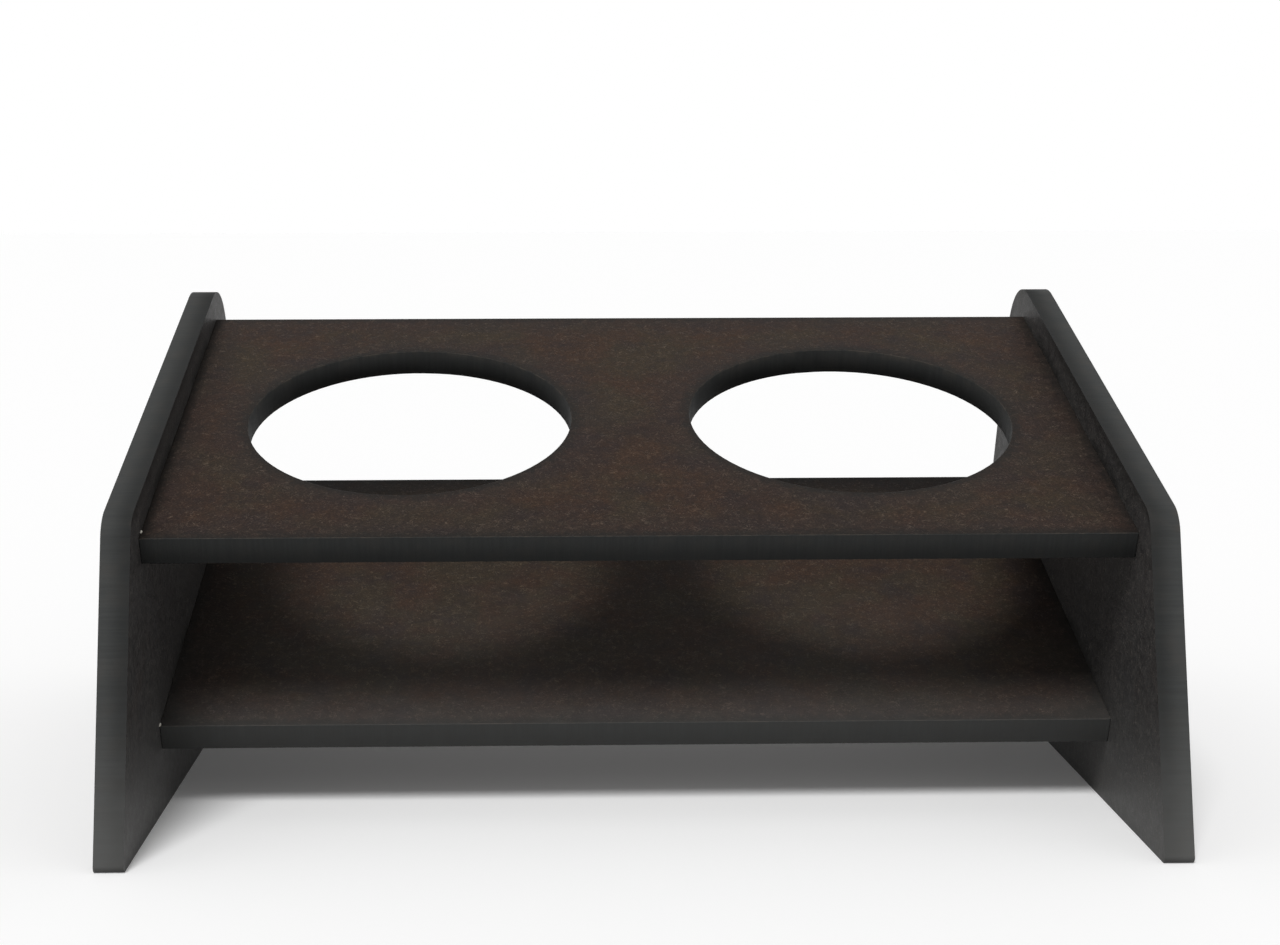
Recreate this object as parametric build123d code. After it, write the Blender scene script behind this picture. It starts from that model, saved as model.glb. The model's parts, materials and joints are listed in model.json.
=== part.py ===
from build123d import *
import os
from math import cos, radians, sin, tan

# A small workstation organizer, cut from thin hardboard.  Two leaning end panels
# carry an upper shelf with two large round holes, and a plain lower shelf that
# closes the space under them.  Both shelves slope down towards the front, and
# tabs on their ends pass through slots in the end panels.
# +X is to the user's right, +Y runs from front to back and +Z is up.  The
# origin is the middle of the footprint, on the table.

# Driving sizes, in millimetres and degrees
BOARD_THICKNESS = 3.0

HOLE_DIAMETER = 36.5
HOLE_FRONT_WEB = 9.0            # board in front of each hole, along the slope
HOLE_REAR_WEB = 10.0            # board behind it
HOLE_MIDDLE_WEB = 13.5          # board between the two holes
HOLE_END_WEB = 7.75             # board between a hole and the end panel

SHELF_TILT = 20.5               # slope of both shelves, rising towards the back
SHELF_GAP = 20.0                # open space between the shelves, square to them
FRONT_CLEARANCE = 6.8           # table to the lower shelf's lowest edge

FRONT_LEAN = 14.0               # lean of the end panels' front edge from upright
PANEL_RIM = 3.5                 # end panel's top edge above the upper shelf
PANEL_FRONT_MARGIN = 2.3        # end panel's upper front corner ahead of the shelves
PANEL_REAR_MARGIN = 6.9         # end panel's rear edge behind the shelves
FRONT_CORNER_RADIUS = 3.5
REAR_CORNER_RADIUS = 8.0
BASE_CORNER_RADIUS = 0.6

TAB_LENGTH = 10.0
TAB_INSET = 9.0                 # board between a tab and the shelf's nearer corner
SLOT_CLEARANCE = 0.05           # gap between a tab and each wall of its slot

# Sizes that follow from them
INNER_WIDTH = 2 * HOLE_END_WEB + 2 * HOLE_DIAMETER + HOLE_MIDDLE_WEB
OVERALL_WIDTH = INNER_WIDTH + 2 * BOARD_THICKNESS
HOLE_X = (HOLE_MIDDLE_WEB + HOLE_DIAMETER) / 2
SHELF_DEPTH = HOLE_FRONT_WEB + HOLE_DIAMETER + HOLE_REAR_WEB

# Places along the slope, from the end panels' upper front corner
HOLE_BACK = PANEL_FRONT_MARGIN + HOLE_FRONT_WEB + HOLE_DIAMETER / 2
SHELF_BACK = PANEL_FRONT_MARGIN + SHELF_DEPTH / 2
TAB_REACH = SHELF_DEPTH / 2 - TAB_INSET - TAB_LENGTH / 2
TAB_BACKS = (SHELF_BACK - TAB_REACH, SHELF_BACK + TAB_REACH)
PANEL_TOP_LENGTH = PANEL_FRONT_MARGIN + SHELF_DEPTH + PANEL_REAR_MARGIN

# Depths of the shelves' top faces below the end panels' top edge, square to it
UPPER_DROP = PANEL_RIM
LOWER_DROP = UPPER_DROP + BOARD_THICKNESS + SHELF_GAP

# The side view, as (Y, Z): the slope, the direction square to it, and the end
# panels' upper front corner, with their front toe at (0, 0)
SLOPE = (cos(radians(SHELF_TILT)), sin(radians(SHELF_TILT)))
SQUARE = (-SLOPE[1], SLOPE[0])
LOWEST_DROP = LOWER_DROP + BOARD_THICKNESS
CORNER_HEIGHT = FRONT_CLEARANCE + LOWEST_DROP * SQUARE[1] - PANEL_FRONT_MARGIN * SLOPE[1]
CORNER = (CORNER_HEIGHT * tan(radians(FRONT_LEAN)), CORNER_HEIGHT)


def side_point(back, drop):
    """The side view's point that lies this far back along the slope from the
    upper front corner, and this far below the end panels' top edge."""
    y = CORNER[0] + back * SLOPE[0] - drop * SQUARE[0]
    z = CORNER[1] + back * SLOPE[1] - drop * SQUARE[1]
    return (y, z)


def panel_outline():
    """The end panel's outline: a level base, a leaning front edge, a top edge
    that follows the shelves, and a rear edge square to that top edge."""
    upper_rear = side_point(PANEL_TOP_LENGTH, 0)
    rear_base = (upper_rear[0] + upper_rear[1] * tan(radians(SHELF_TILT)), 0)
    corners = [(0, 0), CORNER, upper_rear, rear_base]
    radii = [BASE_CORNER_RADIUS, FRONT_CORNER_RADIUS, REAR_CORNER_RADIUS, BASE_CORNER_RADIUS]
    return FilletPolyline(*corners, radius=radii, close=True)


def end_panel(left_face):
    """One end panel, with its left face at this X, and its four slots."""
    with BuildSketch(Plane.YZ.offset(left_face)) as side:
        with BuildLine():
            panel_outline()
        make_face()
        for drop in (UPPER_DROP, LOWER_DROP):
            for back in TAB_BACKS:
                with Locations(side_point(back, drop + BOARD_THICKNESS / 2)):
                    Rectangle(
                        TAB_LENGTH + 2 * SLOT_CLEARANCE,
                        BOARD_THICKNESS + 2 * SLOT_CLEARANCE,
                        rotation=SHELF_TILT,
                        mode=Mode.SUBTRACT,
                    )
    return extrude(side.sketch, BOARD_THICKNESS)


def shelf(drop, hole_places):
    """One shelf with its end tabs, its top face this far below the end panels'
    top edge, and a round hole at each of the given places across it."""
    y, z = side_point(0, drop)
    top_face = Plane(origin=(0, y, z), x_dir=(1, 0, 0), z_dir=(0, *SQUARE))
    with BuildSketch(top_face) as board:
        with Locations((0, SHELF_BACK)):
            Rectangle(INNER_WIDTH, SHELF_DEPTH)
        for back in TAB_BACKS:
            with Locations((0, back)):
                Rectangle(OVERALL_WIDTH, TAB_LENGTH)
        for x in hole_places:
            with Locations((x, HOLE_BACK)):
                Circle(HOLE_DIAMETER / 2, mode=Mode.SUBTRACT)
    return extrude(board.sketch, -BOARD_THICKNESS)


def build_organizer():
    """Every piece by name, moved so that the footprint's middle is the origin."""
    pieces = {
        "end_panel_left": end_panel(-OVERALL_WIDTH / 2),
        "end_panel_right": end_panel(INNER_WIDTH / 2),
        "upper_shelf": shelf(UPPER_DROP, (-HOLE_X, HOLE_X)),
        "lower_shelf": shelf(LOWER_DROP, ()),
    }
    footprint_middle = pieces["end_panel_left"].bounding_box().center().Y
    return {name: Pos(0, -footprint_middle, 0) * piece for name, piece in pieces.items()}


os.makedirs("parts", exist_ok=True)
for name, piece in build_organizer().items():
    export_step(piece, f"parts/{name}.step")
    print(name, piece.bounding_box())
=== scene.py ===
"""The workstation organizer: dark hardboard boards with charred laser-cut edges,
on a pale floor under soft studio light.  Lengths are in metres unless a name or
a comment says millimetres, in the frame's own axes: +X right, +Y back, +Z up."""

import json
import math
import random
from typing import NamedTuple

import bmesh
import bpy
from mathutils import Euler, Matrix, Vector


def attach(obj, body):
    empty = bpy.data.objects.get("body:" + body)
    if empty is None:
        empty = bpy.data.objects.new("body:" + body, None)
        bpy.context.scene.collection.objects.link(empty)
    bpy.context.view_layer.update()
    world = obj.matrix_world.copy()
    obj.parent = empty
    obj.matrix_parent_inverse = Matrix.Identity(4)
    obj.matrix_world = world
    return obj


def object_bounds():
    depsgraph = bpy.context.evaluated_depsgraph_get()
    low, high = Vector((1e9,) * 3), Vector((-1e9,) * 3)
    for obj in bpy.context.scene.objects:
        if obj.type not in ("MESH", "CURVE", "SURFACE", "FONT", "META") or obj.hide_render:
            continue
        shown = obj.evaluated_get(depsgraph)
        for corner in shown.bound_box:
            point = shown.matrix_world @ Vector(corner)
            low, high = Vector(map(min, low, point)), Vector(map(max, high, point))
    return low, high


MM = 0.001
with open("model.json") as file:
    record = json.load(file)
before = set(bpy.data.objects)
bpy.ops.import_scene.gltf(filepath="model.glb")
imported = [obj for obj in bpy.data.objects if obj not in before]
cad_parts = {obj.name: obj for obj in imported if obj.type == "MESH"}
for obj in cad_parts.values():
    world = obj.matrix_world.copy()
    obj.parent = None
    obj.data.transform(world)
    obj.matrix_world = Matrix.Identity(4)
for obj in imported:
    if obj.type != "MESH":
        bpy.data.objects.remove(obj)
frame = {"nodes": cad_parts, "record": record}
CAD_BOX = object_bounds()
NODES = frame["nodes"]
MOUNTS = frame["record"]["mounts"]


def colour(red, green, blue):
    return (red, green, blue, 1.0)


class Finish(NamedTuple):
    """What differs between the shelves and the end panels."""

    char: float                # how light the char is on the cut edges
    smoke_and_glare: tuple
    smoke_and_glare_share: float         # how much smoke, and on the panels painted glare, lies beside a cut
    smoke_and_glare_reach: tuple         # millimetres from the cut over which it fades
    far_share: float           # how much of it the outer face got
    floor_light_share: float          # how much painted light from the floor lies at the feet
    floor_light_reach: tuple          # heights in millimetres over which it fades


class Pattern(NamedTuple):
    """A noise over a board, with its scale per millimetre."""

    scale: float
    detail: float
    roughness: float = 0.5
    distortion: float = 0.0


# Camera: the photograph's viewing angle, for an image of 1280 by 945
IMAGE_WIDTH = 1280
IMAGE_HEIGHT = 945
FOCAL_PIXELS = 2004.5
PRINCIPAL_POINT = (584.1, 452.2)
SENSOR_WIDTH = 36.0
CAMERA_PLACE = (-0.00979, -0.23466, 0.06394)
CAMERA_PITCH = 0.1195          # radians down from level
CAMERA_YAW = -0.0198
CAMERA_ROLL = 0.0027
CLIP_START = 0.005
CLIP_END = 100.0

# Light
SUN_LEVEL = 0.64               # radiance that it gives a white surface that faces it
SUN_WIDTH = math.radians(22)
SUN_TILT = math.radians(36)    # from straight above, towards the viewer
SUN_TURN = math.radians(-15)
SKY_LEVEL = 0.43
BACKDROP_LEVEL = 1.0           # the white background
BACKDROP_TOP = (0.25, 0.60)    # sines of the heights over which it fades in reflections

# Floor
FLOOR_SEEN = 1.0               # how pale the floor looks
FLOOR_BOUNCE = 0.60            # how pale it is to the light that it throws back up
FLOOR_GLOW = 0.04              # brings it up to the background's white
FLOOR_SIZE = 12.0
FLOOR_DROP = 0.01 * MM         # keeps it clear of the feet

# The boards' solids
NEARLY = 0.1                   # cosines smaller than this count as square
NORMAL_DIGITS = 2              # faces that agree to so many digits are one flat face
OFFSET_DIGITS = 1              # of millimetres
SMALLEST_EDGE = 100 * MM * MM  # the area of the smallest face that counts as an edge
TAB_END_DEPTH = 0.01 * MM      # corners this near to a panel's outer face end a tab
TAB_DIGITS = 2                 # of millimetres
ARRIS_RADIUS = 0.12 * MM       # the softened edge of a laser-cut board
ARRIS_SEGMENTS = 2
ARRIS_ANGLE = math.radians(40)
WELD_GAP = 0.002 * MM

# Distances from a cut edge, in millimetres
FAR_AWAY = 100.0               # more than any on a board
ROUND_CORNER_BLEND = 9.0       # follows the end panels' rounded corners
SHARP_CORNER_BLEND = 0.5

# Hardboard: finishes
SHELF_FINISH = Finish(
    # The shelves' char is darker than the panels': painted shade on their cut edges
    char=0.0255,
    smoke_and_glare=colour(0.0250, 0.0190, 0.0180),
    smoke_and_glare_share=0.55,
    smoke_and_glare_reach=(0.8, 8.0),
    far_share=1.0,
    floor_light_share=0.30,
    floor_light_reach=(2.0, 27.0),
)
PANEL_FINISH = Finish(
    char=0.0460,
    # The panels' smoke is pale grey and reaches far: smoke, and painted glare that lightens and
    # greys their faces
    smoke_and_glare=colour(0.0500, 0.0500, 0.0500),
    smoke_and_glare_share=0.84,
    smoke_and_glare_reach=(14.0, 40.0),
    far_share=0.5,
    floor_light_share=0.42,
    floor_light_reach=(1.0, 21.0),
)

# Hardboard: patterns, and the spans of their values over which each sets in
PATCHES = Pattern(0.10, 4.0, 0.62)
PATCH_SPAN = (0.40, 0.60)
CLOUDS = Pattern(0.17, 4.0, 0.60)
CLOUD_SPAN = (0.46, 0.70)
MOTTLE = Pattern(1.00, 5.0, 0.66)
MOTTLE_SPAN = (0.34, 0.66)
SPECKLE = Pattern(4.5, 3.0, 0.75)
SPECKLE_SPAN = (0.44, 0.68)
WAVER = Pattern(0.30, 4.0)
WAVER_SPAN = (0.25, 0.75)
STRIATION = Pattern(2.6, 4.0, 0.65)
STRIATION_SPAN = (0.30, 0.72)
SOOT = Pattern(0.45, 4.0)
SOOT_SPAN = (0.42, 0.72)
# Where the arrises are lighter: rubbed char, and a painted edge highlight
ARRIS_RUB_AND_HIGHLIGHT = Pattern(0.65, 5.0, 0.70)
ARRIS_RUB_AND_HIGHLIGHT_SPAN = (0.40, 0.66)
SHIFTS = (20, 400)             # millimetres by which a board's patterns are shifted
KERF_STRETCH = 0.04            # draws the striations out across the thickness

# Hardboard: fibres
LONG_FIBRE_SCALE = 1.10
LONG_FIBRE_THINNESS = 0.030
SHORT_FIBRE_SCALE = 2.10
SHORT_FIBRE_THINNESS = 0.045
SHORT_FIBRE_SHIFT = (57.0, 13.0, 31.0)
FIBRE_DETAIL = 1.0
FIBRE_CURL = 1.6
FIBRE_LEVEL = 0.5              # the noise's value that fibres follow
FIBRE_GATE_SCALE = 0.9         # of the fibres' own scale
FIBRE_GATE_DETAIL = 2.0
FIBRE_GATE_SPAN = (0.54, 0.64)

# Hardboard: colours
BROWN = colour(0.0340, 0.0245, 0.0160)
REDDER_BROWN = colour(0.0375, 0.0217, 0.0145)
CLOUD_BROWN = colour(0.0235, 0.0165, 0.0155)
TAN = colour(0.160, 0.120, 0.080)
SCORCHED = colour(0.0130, 0.0130, 0.0120)
# Arrises here and there: rubbed char, and a painted edge highlight
RUBBED_AND_HIGHLIGHT_BROWN = colour(0.0850, 0.0680, 0.0530)
# Painted light from the floor, lightening the boards towards their feet
PAINTED_FLOOR_LIGHT = colour(0.150, 0.150, 0.145)

# Hardboard: tints, which multiply the colour under them
HOLLOW_TINT = colour(0.70, 0.70, 0.72)
SPECK_TINT = colour(1.75, 1.70, 1.65)
FIBRE_TINT = colour(3.6, 3.8, 4.0)
CHAR_TINTS = (colour(0.86, 0.89, 0.88), colour(1.05, 1.09, 1.07))
ASH_TINT = colour(1.30, 1.22, 1.12)

# Hardboard: shares, and the spans over which they fade.  Reaches are millimetres
# from a cut, and slopes are cosines between the surface's normal and the board's.
CLOUD_SHARE = 0.75
TAN_SHARE = 0.50               # of a fibre's colour
FIBRE_SHARE = 0.50
WAVER_RANGE = (0.65, 1.50)     # by how much the smoke's reach varies
FACE_SLOPE = (-0.3, 0.3)       # from one pressed face to the other
SCORCH_SHARE = 0.62
SCORCH_REACH = (0.3, 2.0)
SCORCH_WAVER = 0.5             # millimetres by which the mottling moves it
ASH_SHARE = 0.35
CHAR_HIGHLIGHT_SPAN = (0.05, 0.95)       # shares of the thickness, counted towards the outer face, over which the painted highlight rises
CHAR_HIGHLIGHT_RANGE = (0.58, 1.20)      # of the char's lightness across the thickness: a painted highlight, lightest at the outer face
PRESSED_SLOPE = (0.80, 0.97)
# Slopes of the arrises' rubbed char and painted edge highlight
ARRIS_RUB_AND_HIGHLIGHT_SLOPE = (0.10, 0.45)
ARRIS_END_SLOPE = (0.86, 0.99)
ARRIS_RUB_AND_HIGHLIGHT_SHARE = 0.45
FLOOR_LIGHT_WAVER = 6.0               # millimetres by which the soot noise moves the painted floor light's reach

# Hardboard: gloss and relief
FACE_ROUGHNESS = (0.42, 0.12)  # at the least, and what the mottling adds
EDGE_ROUGHNESS = (0.50, 0.26)  # at the least, and what the striation adds
MOTTLE_RELIEF = 0.3
SPECKLE_RELIEF = 0.5
FIBRE_RELIEF = 0.5
RELIEF_STRENGTH = 0.6
RELIEF_DEPTH = 0.03 * MM
HARDBOARD_SPECULAR = 0.08

# Glue beads
GLUE_SIZE = 0.21 * MM
GLUE_STRETCH = (0.8, 1.25, 0.7)  # along the shelf, up its slope and out of it
GLUE_SUBDIVISIONS = 4
GLUE_WAVES = 5
GLUE_WAVE_SWELL = 0.05
GLUE_WAVE_RATE = 2.2
GLUE_WAVE_PHASES = (0, 6)
UPPER_BEAD_BACK = 1.35         # millimetres behind the shelf's front edge
LOWER_BEAD_BACK = 0.25
UPPER_BEAD_SEED = 3
LOWER_BEAD_SEED = 8
GLUE_CLOUD = Pattern(3.0, 3.0)
GLUE_CLOUD_SPAN = (0.35, 0.65)
# Pale: a painted glint on the beads
GLUE_AND_GLINT_COLOURS = (colour(0.62, 0.58, 0.48), colour(0.78, 0.76, 0.70))
GLUE_ROUGHNESS = (0.12, 0.2)   # at the least, and what the cloudiness adds
GLUE_RELIEF_STRENGTH = 0.3
GLUE_RELIEF_DEPTH = 0.02 * MM
GLUE_SPECULAR = 0.6


class Shader:
    """A node tree, with short calls for its nodes."""

    def __init__(self, tree, output="ShaderNodeOutputMaterial"):
        self.tree = tree
        self.tree.nodes.clear()
        self.output = self.tree.nodes.new(output)

    def node(self, kind, inputs=None, **settings):
        made = self.tree.nodes.new(kind)
        for key, value in settings.items():
            setattr(made, key, value)
        for key, value in (inputs or {}).items():
            self.feed(made.inputs[key], value)
        return made

    def feed(self, socket, value):
        if isinstance(value, bpy.types.NodeSocket):
            self.tree.links.new(value, socket)
        else:
            socket.default_value = value

    def math(self, operation, a, b=0.0, c=0.0):
        return self.node("ShaderNodeMath", {0: a, 1: b, 2: c}, operation=operation).outputs[0]

    def dot(self, a, b):
        made = self.node("ShaderNodeVectorMath", {0: a, 1: b}, operation="DOT_PRODUCT")
        return made.outputs["Value"]

    def length(self, vector):
        made = self.node("ShaderNodeVectorMath", {0: vector}, operation="LENGTH")
        return made.outputs["Value"]

    def vector(self, operation, a, b):
        return self.node("ShaderNodeVectorMath", {0: a, 1: b}, operation=operation).outputs[0]

    def combine(self, x, y, z):
        return self.node("ShaderNodeCombineXYZ", {0: x, 1: y, 2: z}).outputs[0]

    def noise(self, place, pattern):
        inputs = {
            "Vector": place,
            "Scale": pattern.scale,
            "Detail": pattern.detail,
            "Roughness": pattern.roughness,
            "Distortion": pattern.distortion,
        }
        return self.node("ShaderNodeTexNoise", inputs).outputs["Fac"]

    def step(self, value, span, low=0.0, high=1.0):
        """Runs smoothly from low to high as value goes across the span."""
        inputs = {
            "Value": value,
            "From Min": span[0],
            "From Max": span[1],
            "To Min": low,
            "To Max": high,
        }
        made = self.node("ShaderNodeMapRange", inputs, interpolation_type="SMOOTHSTEP")
        return made.outputs[0]

    def mix(self, share, a, b, blend="MIX"):
        """Mixes two colours.  A colour's sockets are the third pair of a Mix node."""
        inputs = {"Factor": share, 6: a, 7: b}
        return self.node("ShaderNodeMix", inputs, data_type="RGBA", blend_type=blend).outputs[2]

    def tint(self, a, b):
        return self.mix(1.0, a, b, "MULTIPLY")

    def mix_values(self, share, a, b):
        return self.node("ShaderNodeMix", {0: share, 2: a, 3: b}, data_type="FLOAT").outputs[0]

    def object_place(self):
        return self.node("ShaderNodeTexCoord").outputs["Object"]

    def bump(self, height, strength, depth):
        inputs = {"Strength": strength, "Distance": depth, "Height": height}
        return self.node("ShaderNodeBump", inputs).outputs[0]

    def finish_surface(self, made):
        self.feed(self.output.inputs["Surface"], made.outputs[0])

    def finish_body(self, base, roughness, normal, specular):
        """Makes the surface a plain body with these colours, gloss and relief."""
        inputs = {"Base Color": base, "Roughness": roughness, "Normal": normal}
        body = self.node("ShaderNodeBsdfPrincipled", inputs)
        body.inputs["Specular IOR Level"].default_value = specular
        self.finish_surface(body)


def new_material(name):
    material = bpy.data.materials.new(name)
    material.use_nodes = True
    return material


def flat_faces(mesh):
    """The mesh's flat faces, largest first, as (area, normal, offset along it)."""
    found = {}
    for polygon in mesh.polygons:
        normal = polygon.normal
        offset = normal.dot(polygon.center)
        rounded = [round(value, NORMAL_DIGITS) for value in normal]
        key = (*rounded, round(offset / MM, OFFSET_DIGITS))
        area, _, _ = found.get(key, (0.0, None, None))
        found[key] = (area + polygon.area, normal.copy(), offset)
    return sorted(found.values(), key=lambda face: -face[0])


class Board:
    """A flat board's own directions and the lines that its outline follows."""

    def __init__(self, node):
        faces = flat_faces(NODES[node].data)
        self.normal = faces[0][1]
        upright = abs(self.normal.z) < NEARLY
        if self.normal.z < -NEARLY or (upright and self.normal.x < 0):
            self.normal = -self.normal
        if upright:
            self.across = Vector((0, 0, 1))
        else:
            self.across = self.normal.cross(Vector((1, 0, 0)))
        self.along = self.across.cross(self.normal)
        self.edges = [
            (normal, offset)
            for area, normal, offset in faces
            if abs(normal.dot(self.normal)) < NEARLY and area > SMALLEST_EDGE
        ]
        self.faces = sorted(
            offset * normal.dot(self.normal) for area, normal, offset in faces[:2]
        )
        self.thickness = self.faces[1] - self.faces[0]
        self.outer_is_low = self.faces[1] < 0   # the outer face (a shelf's top) is the low one

    def front_edge(self):
        """Where the front edge lies along the direction that runs to the back."""
        return next(
            offset * normal.dot(self.across) for normal, offset in self.edges if normal.y < -NEARLY
        )


def holes_in(node):
    """(centre, radius) of each round hole in a board, from the mounts."""
    if node != "upper_shelf":
        return []
    bores = [mount for mount in MOUNTS if mount["kind"] == "bore"]
    return [(Vector(bore["pos_m"]), bore["dims"]["r_mm"] * MM) for bore in bores]


class Tab(NamedTuple):
    """A shelf's tab in an end panel: its middle and half its size along the shelf's
    slope and across its thickness, in millimetres."""

    shelf: Board
    back: float
    half_back: float
    level: float
    half_level: float


def tabs_through(node):
    """The shelves' tabs that come through an end panel."""
    if not node.startswith("end_panel"):
        return []
    found = []
    end = CAD_BOX[1][0] - TAB_END_DEPTH
    for name in ("lower_shelf", "upper_shelf"):
        shelf = Board(name)
        corners = [v.co for v in NODES[name].data.vertices if v.co.x > end]
        backs = sorted({round(corner.dot(shelf.across) / MM, TAB_DIGITS) for corner in corners})
        # The widest gap between corners is the one between the two tabs
        gaps = [b - a for a, b in zip(backs, backs[1:])]
        split = gaps.index(max(gaps[1:-1])) + 1
        low, high = (face / MM for face in shelf.faces)
        for tab in (backs[:split], backs[split:]):
            middle = (tab[0] + tab[-1]) / 2
            half = (tab[-1] - tab[0]) / 2
            found.append(Tab(shelf, middle, half, (low + high) / 2, (high - low) / 2))
    return found


class Hardboard(Shader):
    """Dark brown hardboard: pressed faces with fine tan fibres and soft mottling,
    a scorched margin beside each cut, and black charred cut edges."""

    def __init__(self, tree, node, seed, finish):
        super().__init__(tree)
        self.board = Board(node)
        self.finish = finish
        self.place = self.object_place()
        self.surface_normal = self.node("ShaderNodeNewGeometry").outputs["Normal"]
        facing = self.dot(self.surface_normal, tuple(self.board.normal))
        self.facing = self.math("ABSOLUTE", facing)

        # Board coordinates in millimetres, shifted so that no two boards match
        rng = random.Random(seed)
        shift = [rng.uniform(*SHIFTS) for _ in range(3)]
        u = self.measure(self.place, self.board.along)
        v = self.measure(self.place, self.board.across)
        self.depth = self.measure(self.place, self.board.normal)
        self.grain = self.vector("ADD", self.combine(u, v, self.depth), shift)
        stretched = self.math("MULTIPLY", self.depth, KERF_STRETCH)
        self.kerf = self.vector("ADD", self.combine(u, v, stretched), shift)

        self.mottle = self.step(self.noise(self.grain, MOTTLE), MOTTLE_SPAN)
        self.speckle = self.noise(self.grain, SPECKLE)
        self.fibre = self.fibres()
        self.striation = self.noise(self.kerf, STRIATION)
        self.soot = self.noise(self.grain, SOOT)
        self.distance = self.outline_distance(holes_in(node), tabs_through(node))

    def measure(self, place, axis):
        """A place along an axis, in millimetres."""
        return self.dot(place, tuple(axis / MM))

    def outside(self, axis, middle, half):
        """How far a point lies outside a span along an axis, in millimetres."""
        offset = self.math("SUBTRACT", self.measure(self.place, axis), middle)
        beyond = self.math("SUBTRACT", self.math("ABSOLUTE", offset), half)
        return self.math("MAXIMUM", beyond, 0.0)

    def outline_distance(self, holes, tabs):
        """Distance in millimetres from a point on the board to its nearest cut edge."""
        nearest = FAR_AWAY
        blend = SHARP_CORNER_BLEND if holes else ROUND_CORNER_BLEND
        for normal, offset in self.board.edges:
            distance = self.math("ADD", self.measure(self.place, -normal), offset / MM)
            nearest = self.math("SMOOTH_MIN", nearest, distance, blend)
        for centre, radius in holes:
            from_centre = self.vector("SUBTRACT", self.place, tuple(centre))
            u = self.measure(from_centre, self.board.along)
            v = self.measure(from_centre, self.board.across)
            reach = self.length(self.combine(u, v, 0.0))
            distance = self.math("SUBTRACT", reach, radius / MM)
            nearest = self.math("MINIMUM", nearest, distance)
        for tab in tabs:
            beside = self.outside(tab.shelf.across, tab.back, tab.half_back)
            above = self.outside(tab.shelf.normal, tab.level, tab.half_level)
            distance = self.length(self.combine(beside, above, 0.0))
            nearest = self.math("MINIMUM", nearest, distance)
        return nearest

    def curls(self, place, scale, thinness):
        """Short curled fibres: thin stretches of a wandering noise's level lines."""
        level = self.noise(place, Pattern(scale, FIBRE_DETAIL, distortion=FIBRE_CURL))
        away = self.math("ABSOLUTE", self.math("SUBTRACT", level, FIBRE_LEVEL))
        line = self.step(away, (0.0, thinness), 1.0, 0.0)
        gate = self.noise(place, Pattern(scale * FIBRE_GATE_SCALE, FIBRE_GATE_DETAIL))
        return self.math("MULTIPLY", line, self.step(gate, FIBRE_GATE_SPAN))

    def fibres(self):
        long_fibres = self.curls(self.grain, LONG_FIBRE_SCALE, LONG_FIBRE_THINNESS)
        shifted = self.vector("ADD", self.grain, SHORT_FIBRE_SHIFT)
        short_fibres = self.curls(shifted, SHORT_FIBRE_SCALE, SHORT_FIBRE_THINNESS)
        return self.math("MAXIMUM", long_fibres, short_fibres)

    def smoke_and_glare(self):
        """How much smoke from the cutting lies on the face around each cut; on the panels it is
        also painted glare, lightening and greying the faces.
        """
        waver = self.step(self.noise(self.grain, WAVER), WAVER_SPAN, *WAVER_RANGE)
        reached = self.math("MULTIPLY", self.distance, waver)
        near = self.step(reached, self.finish.smoke_and_glare_reach, self.finish.smoke_and_glare_share, 0.0)
        outward = -self.board.normal if self.board.outer_is_low else self.board.normal
        outwards = self.dot(self.surface_normal, tuple(outward))
        side = self.step(outwards, FACE_SLOPE, 1.0, self.finish.far_share)
        return self.math("MULTIPLY", side, near)

    def face_colour(self):
        """The pressed faces, dulled by smoke and on the panels lightened by painted glare, with a
        narrow scorched line at a cut.
        """
        patches = self.step(self.noise(self.grain, PATCHES), PATCH_SPAN)
        brown = self.mix(patches, BROWN, REDDER_BROWN)
        clouds = self.step(self.noise(self.grain, CLOUDS), CLOUD_SPAN, 0.0, CLOUD_SHARE)
        brown = self.mix(clouds, brown, CLOUD_BROWN)
        brown = self.mix(self.smoke_and_glare(), brown, self.finish.smoke_and_glare)
        brown = self.mix(self.mottle, self.tint(brown, HOLLOW_TINT), brown)
        specks = self.step(self.speckle, SPECKLE_SPAN)
        brown = self.mix(specks, brown, self.tint(brown, SPECK_TINT))
        pale = self.mix(TAN_SHARE, self.tint(brown, FIBRE_TINT), TAN)
        brown = self.mix(self.math("MULTIPLY", self.fibre, FIBRE_SHARE), brown, pale)
        margin = self.math("MULTIPLY_ADD", self.mottle, SCORCH_WAVER, self.distance)
        return self.mix(self.step(margin, SCORCH_REACH, SCORCH_SHARE, 0.0), brown, SCORCHED)

    def edge_colour(self):
        """The cut edges: char, with the beam's striations across the thickness and a painted
        highlight towards the outer face.
        """
        char = self.mix(self.step(self.striation, STRIATION_SPAN), *CHAR_TINTS)
        char = self.mix(self.step(self.soot, SOOT_SPAN, 0.0, ASH_SHARE), char, ASH_TINT)
        # Painted highlight: the char lightens across the thickness towards the outer face
        to_outer_face = self.math("SUBTRACT", self.depth, self.board.faces[0] / MM)
        to_outer_face = self.math("DIVIDE", to_outer_face, self.board.thickness / MM)
        if self.board.outer_is_low:
            to_outer_face = self.math("SUBTRACT", 1.0, to_outer_face)
        char_with_highlight = self.step(to_outer_face, CHAR_HIGHLIGHT_SPAN, *(share * self.finish.char for share in CHAR_HIGHLIGHT_RANGE))
        return self.tint(char, self.combine(char_with_highlight, char_with_highlight, char_with_highlight))

    def wear_and_painted_light(self, base):
        """Soot is rubbed off the arrises here and there, so that brown shows, which is also a
        painted edge highlight;
        and painted light from the floor lightens the board towards its feet."""
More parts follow.
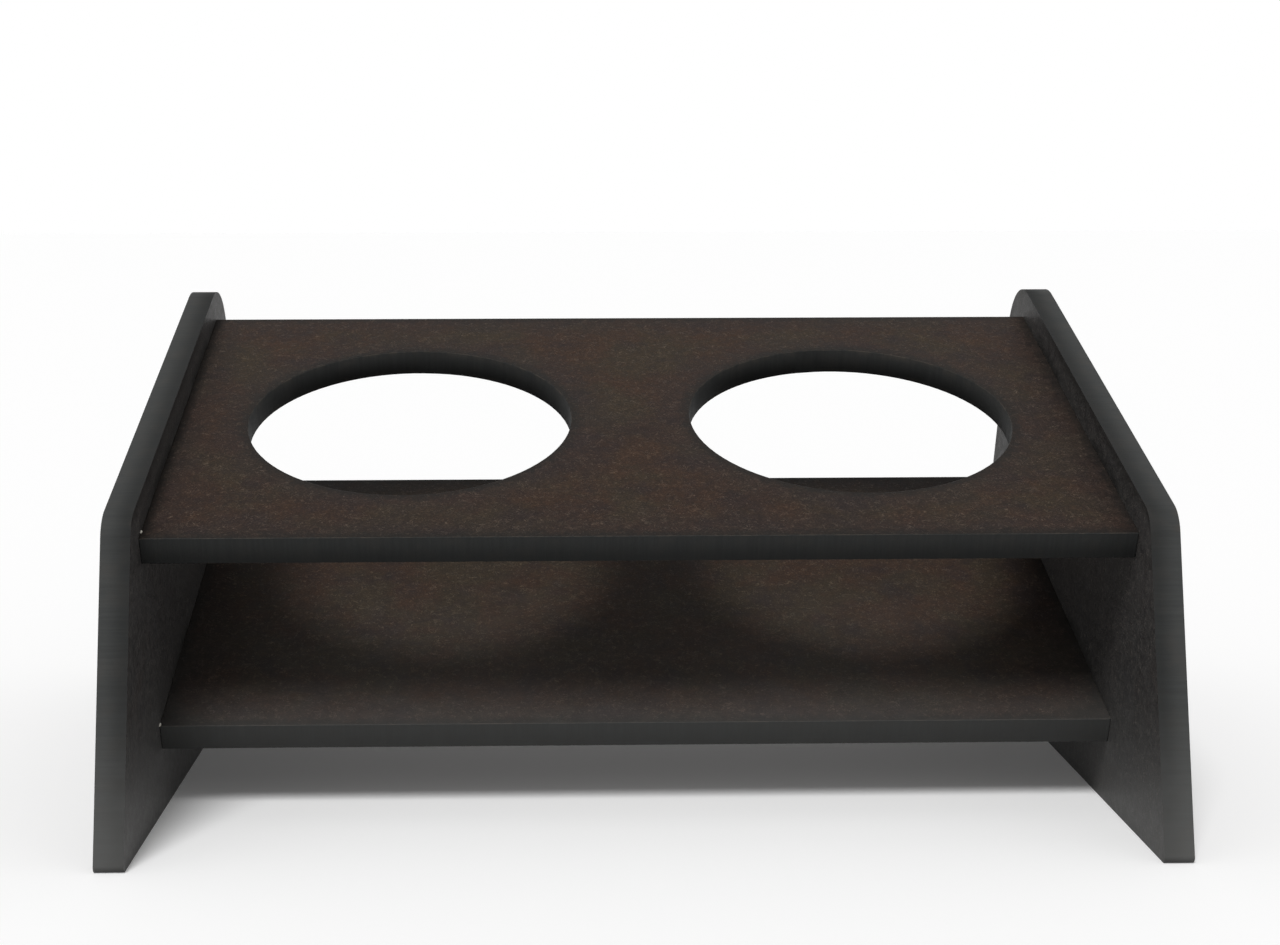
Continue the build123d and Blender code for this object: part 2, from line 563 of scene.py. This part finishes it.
        # Lighter brown on the arrises here and there: rubbed char, and a painted edge highlight
        arris_rub_and_highlight = self.math(
            "MULTIPLY",
            self.step(self.facing, ARRIS_RUB_AND_HIGHLIGHT_SLOPE),
            self.step(self.facing, ARRIS_END_SLOPE, 1.0, 0.0),
        )
        here = self.step(self.noise(self.grain, ARRIS_RUB_AND_HIGHLIGHT), ARRIS_RUB_AND_HIGHLIGHT_SPAN, 0.0, ARRIS_RUB_AND_HIGHLIGHT_SHARE)
        base = self.mix(self.math("MULTIPLY", arris_rub_and_highlight, here), base, RUBBED_AND_HIGHLIGHT_BROWN)
        # Painted light from the floor: the board lightens towards its feet
        height = self.measure(self.place, Vector((0, 0, 1)))
        floor_lit_height = self.math("MULTIPLY_ADD", self.soot, FLOOR_LIGHT_WAVER, height)
        floor_light = self.step(floor_lit_height, self.finish.floor_light_reach, self.finish.floor_light_share, 0.0)
        return self.mix(floor_light, base, PAINTED_FLOOR_LIGHT)

    def build(self):
        # The pressed faces are those that face along the board's thickness
        pressed = self.step(self.facing, PRESSED_SLOPE)
        base = self.wear_and_painted_light(self.mix(pressed, self.edge_colour(), self.face_colour()))

        least, added = FACE_ROUGHNESS
        face_rough = self.math("MULTIPLY_ADD", self.mottle, added, least)
        least, added = EDGE_ROUGHNESS
        edge_rough = self.math("MULTIPLY_ADD", self.striation, added, least)
        rough = self.mix_values(pressed, edge_rough, face_rough)

        relief = self.math("MULTIPLY", self.speckle, SPECKLE_RELIEF)
        relief = self.math("MULTIPLY_ADD", self.mottle, MOTTLE_RELIEF, relief)
        relief = self.math("MULTIPLY_ADD", self.fibre, FIBRE_RELIEF, relief)
        relief = self.mix_values(pressed, self.striation, relief)
        bump = self.bump(relief, RELIEF_STRENGTH, RELIEF_DEPTH)
        self.finish_body(base, rough, bump, HARDBOARD_SPECULAR)


def dress(node, seed, finish):
    """Gives a board its finish and softens the sharp arrises of its solid."""
    board = NODES[node]
    material = new_material("hardboard_" + node)
    Hardboard(material.node_tree, node, seed, finish).build()
    board.data.materials.clear()
    board.data.materials.append(material)
    weld = board.modifiers.new("weld", "WELD")
    weld.merge_threshold = WELD_GAP
    bevel = board.modifiers.new("arris", "BEVEL")
    bevel.width = ARRIS_RADIUS
    bevel.segments = ARRIS_SEGMENTS
    bevel.limit_method = "ANGLE"
    bevel.angle_limit = ARRIS_ANGLE
    bevel.harden_normals = True


def glue_material():
    """Dried clear glue, a little cloudy and yellow, with a slightly wavy skin; its pale colour is
    a painted glint.
    """
    material = new_material("glue_with_painted_glint")
    shader = Shader(material.node_tree)
    place = shader.vector("MULTIPLY", shader.object_place(), (1 / MM, 1 / MM, 1 / MM))
    cloud = shader.noise(place, GLUE_CLOUD)
    base = shader.mix(shader.step(cloud, GLUE_CLOUD_SPAN), *GLUE_AND_GLINT_COLOURS)
    least, added = GLUE_ROUGHNESS
    rough = shader.math("MULTIPLY_ADD", cloud, added, least)
    bump = shader.bump(cloud, GLUE_RELIEF_STRENGTH, GLUE_RELIEF_DEPTH)
    shader.finish_body(base, rough, bump, GLUE_SPECULAR)
    return material


def add_glue_bead(name, shelf, back, seed, material):
    """A small bead of glue in the corner between a shelf's top face and the left
    end panel, this many millimetres behind the shelf's front edge."""
    board = Board(shelf)
    corner = Vector((CAD_BOX[0][0] + board.thickness, 0, 0))
    corner += board.across * (board.front_edge() + back * MM) + board.normal * board.faces[1]
    rng = random.Random(seed)
    mesh = bmesh.new()
    bmesh.ops.create_icosphere(mesh, subdivisions=GLUE_SUBDIVISIONS, radius=GLUE_SIZE)
    waves = [
        (Vector([rng.uniform(-1, 1) for _ in range(3)]), rng.uniform(*GLUE_WAVE_PHASES))
        for _ in range(GLUE_WAVES)
    ]
    for vertex in mesh.verts:
        place = vertex.co / GLUE_SIZE
        ripples = [math.sin(GLUE_WAVE_RATE * place.dot(wave) + phase) for wave, phase in waves]
        place = place * (1 + sum(GLUE_WAVE_SWELL * ripple for ripple in ripples))
        offset = board.along * place.x * GLUE_STRETCH[0]
        offset += board.across * place.y * GLUE_STRETCH[1]
        offset += board.normal * place.z * GLUE_STRETCH[2]
        vertex.co = corner + offset * GLUE_SIZE
    data = bpy.data.meshes.new(name)
    mesh.to_mesh(data)
    mesh.free()
    for polygon in data.polygons:
        polygon.use_smooth = True
    data.materials.append(material)
    bead = bpy.data.objects.new(name, data)
    bpy.context.scene.collection.objects.link(bead)
    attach(bead, "root")


def add_camera():
    data = bpy.data.cameras.new("camera")
    data.sensor_width = SENSOR_WIDTH
    data.lens = FOCAL_PIXELS / IMAGE_WIDTH * SENSOR_WIDTH
    data.shift_x = (IMAGE_WIDTH / 2 - PRINCIPAL_POINT[0]) / IMAGE_WIDTH
    data.shift_y = (PRINCIPAL_POINT[1] - IMAGE_HEIGHT / 2) / IMAGE_WIDTH
    data.clip_start = CLIP_START
    data.clip_end = CLIP_END
    camera = bpy.data.objects.new("camera", data)
    turn = Matrix.Rotation(CAMERA_YAW, 4, "Z")
    turn = turn @ Matrix.Rotation(math.pi / 2 - CAMERA_PITCH, 4, "X")
    turn = turn @ Matrix.Rotation(-CAMERA_ROLL, 4, "Z")
    camera.matrix_world = Matrix.Translation(CAMERA_PLACE) @ turn
    bpy.context.scene.collection.objects.link(camera)
    bpy.context.scene.camera = camera


def floor_material():
    """Matt white where it is seen, with the shadow on it, and pale grey for the
    light that it throws back up."""
    material = new_material("floor")
    shader = Shader(material.node_tree)
    rays = shader.node("ShaderNodeLightPath").outputs
    seen = shader.math("MAXIMUM", rays["Is Camera Ray"], rays["Is Glossy Ray"])
    seen = shader.math("MAXIMUM", seen, rays["Is Transmission Ray"])
    tone = shader.math("MULTIPLY_ADD", seen, FLOOR_SEEN - FLOOR_BOUNCE, FLOOR_BOUNCE)
    matt = shader.node("ShaderNodeBsdfDiffuse", {"Color": shader.combine(tone, tone, tone)})
    glow = shader.math("MULTIPLY", seen, FLOOR_GLOW)
    glow = shader.node("ShaderNodeEmission", {"Strength": glow})
    shader.finish_surface(
        shader.node("ShaderNodeAddShader", {0: matt.outputs[0], 1: glow.outputs[0]})
    )
    return material


def add_floor():
    """A pale floor that meets the white background, just below the feet."""
    half = FLOOR_SIZE / 2
    mesh = bpy.data.meshes.new("floor")
    corners = [(-half, -half, 0), (half, -half, 0), (half, half, 0), (-half, half, 0)]
    mesh.from_pydata(corners, [], [(0, 1, 2, 3)])
    mesh.materials.append(floor_material())
    floor = bpy.data.objects.new("floor", mesh)
    floor.location.z = -FLOOR_DROP
    bpy.context.scene.collection.objects.link(floor)


def add_sun():
    data = bpy.data.lights.new("sun", "SUN")
    data.energy = SUN_LEVEL * math.pi
    data.angle = SUN_WIDTH
    sun = bpy.data.objects.new("sun", data)
    sun.rotation_euler = Euler((SUN_TILT, 0, SUN_TURN))
    bpy.context.scene.collection.objects.link(sun)


def add_world():
    """An even sky that the camera, and reflections near the horizon, see as white."""
    world = bpy.data.worlds.new("world")
    bpy.context.scene.world = world
    world.use_nodes = True
    shader = Shader(world.node_tree, "ShaderNodeOutputWorld")
    direction = shader.node("ShaderNodeTexCoord").outputs["Generated"]
    height = shader.node("ShaderNodeSeparateXYZ", {0: direction}).outputs["Z"]
    low = shader.step(height, BACKDROP_TOP, 1.0, 0.0)
    rays = shader.node("ShaderNodeLightPath").outputs
    mirrored = shader.math("MAXIMUM", rays["Is Glossy Ray"], rays["Is Transmission Ray"])
    mirrored = shader.math("MULTIPLY", mirrored, low)
    seen = shader.math("MAXIMUM", rays["Is Camera Ray"], mirrored)
    level = shader.math("MULTIPLY_ADD", seen, BACKDROP_LEVEL - SKY_LEVEL, SKY_LEVEL)
    inputs = {"Color": colour(1, 1, 1), "Strength": level}
    shader.finish_surface(shader.node("ShaderNodeBackground", inputs))


for seed, node in enumerate(sorted(NODES)):
    dress(node, seed, SHELF_FINISH if node.endswith("shelf") else PANEL_FINISH)
glue = glue_material()
add_glue_bead("glue_bead_upper", "upper_shelf", UPPER_BEAD_BACK, UPPER_BEAD_SEED, glue)
add_glue_bead("glue_bead_lower", "lower_shelf", LOWER_BEAD_BACK, LOWER_BEAD_SEED, glue)
add_floor()
add_sun()
add_world()
add_camera()
bpy.context.scene.view_settings.view_transform = "Standard"
